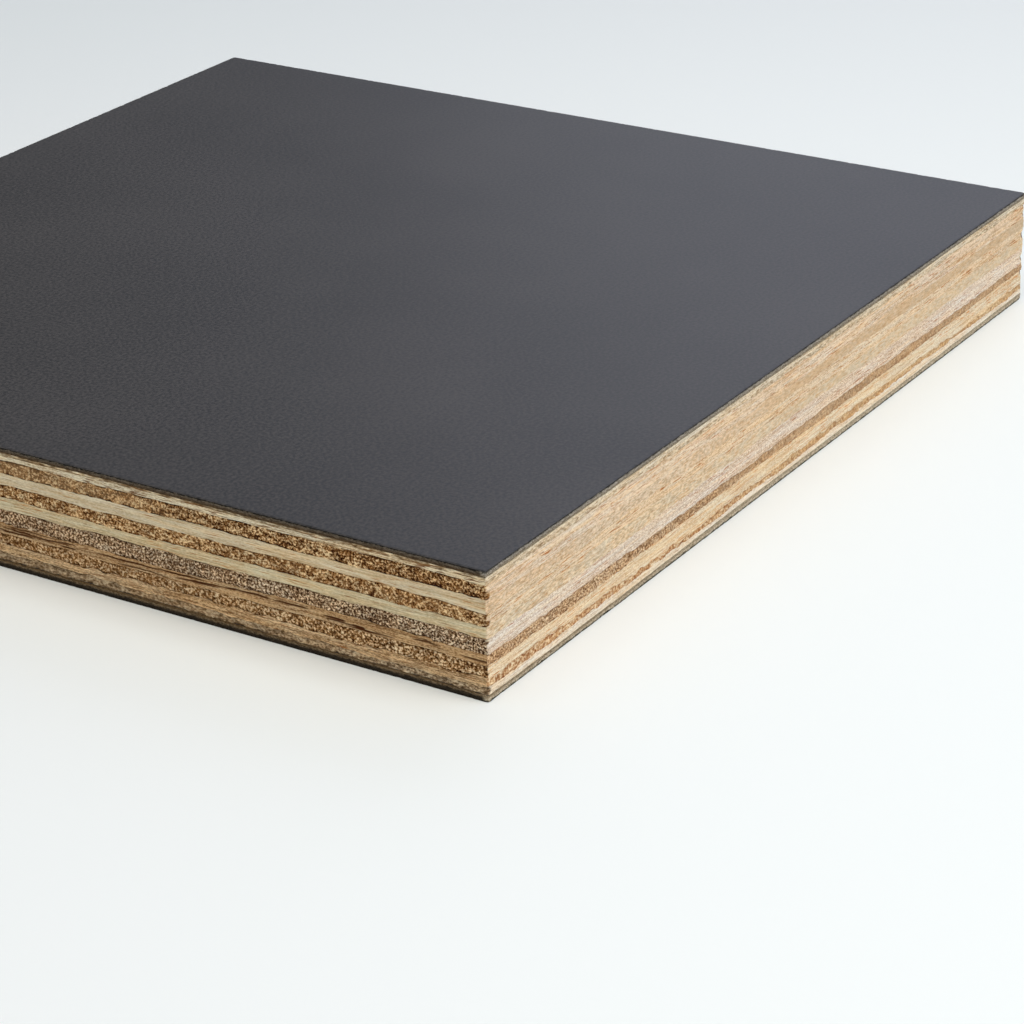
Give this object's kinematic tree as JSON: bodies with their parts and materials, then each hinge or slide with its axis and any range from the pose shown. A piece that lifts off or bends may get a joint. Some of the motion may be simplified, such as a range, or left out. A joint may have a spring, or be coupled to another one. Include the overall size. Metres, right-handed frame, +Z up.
{
  "type": "laminate-faced plywood panel",
  "caption": "Square sawn piece of thick plywood panel with dark matte laminate on both broad faces and bare crossed veneers showing on its edges.",
  "frame": {"origin": "middle of the underside, which lies on the floor", "axes": "+X along the grain of the face veneers (the longer side), +Y across it, +Z up out of the top facing"},
  "size_m": [0.16, 0.157, 0.018],
  "materials": {
    "laminate": "matte",
    "face_veneer_pale": "matte",
    "face_veneer_tan": "matte",
    "core_veneer_orange": "matte",
    "core_veneer_gold": "matte",
    "core_veneer_tan": "matte",
    "core_veneer_grey": "matte",
    "core_veneer_cream": "matte",
    "core_veneer_brown": "matte"
  },
  "bodies": {
    "root": {"facing_bottom": "laminate", "face_veneer_bottom": "face_veneer_pale", "core_veneer_1": "core_veneer_orange", "core_veneer_2": "core_veneer_gold", "core_veneer_3": "core_veneer_tan", "core_veneer_4": "core_veneer_grey", "core_veneer_5": "core_veneer_cream", "core_veneer_6": "core_veneer_brown", "core_veneer_7": "core_veneer_cream", "core_veneer_8": "core_veneer_brown", "core_veneer_9": "core_veneer_cream", "face_veneer_top": "face_veneer_tan", "facing_top": "laminate"}
  },
  "joints": []
}
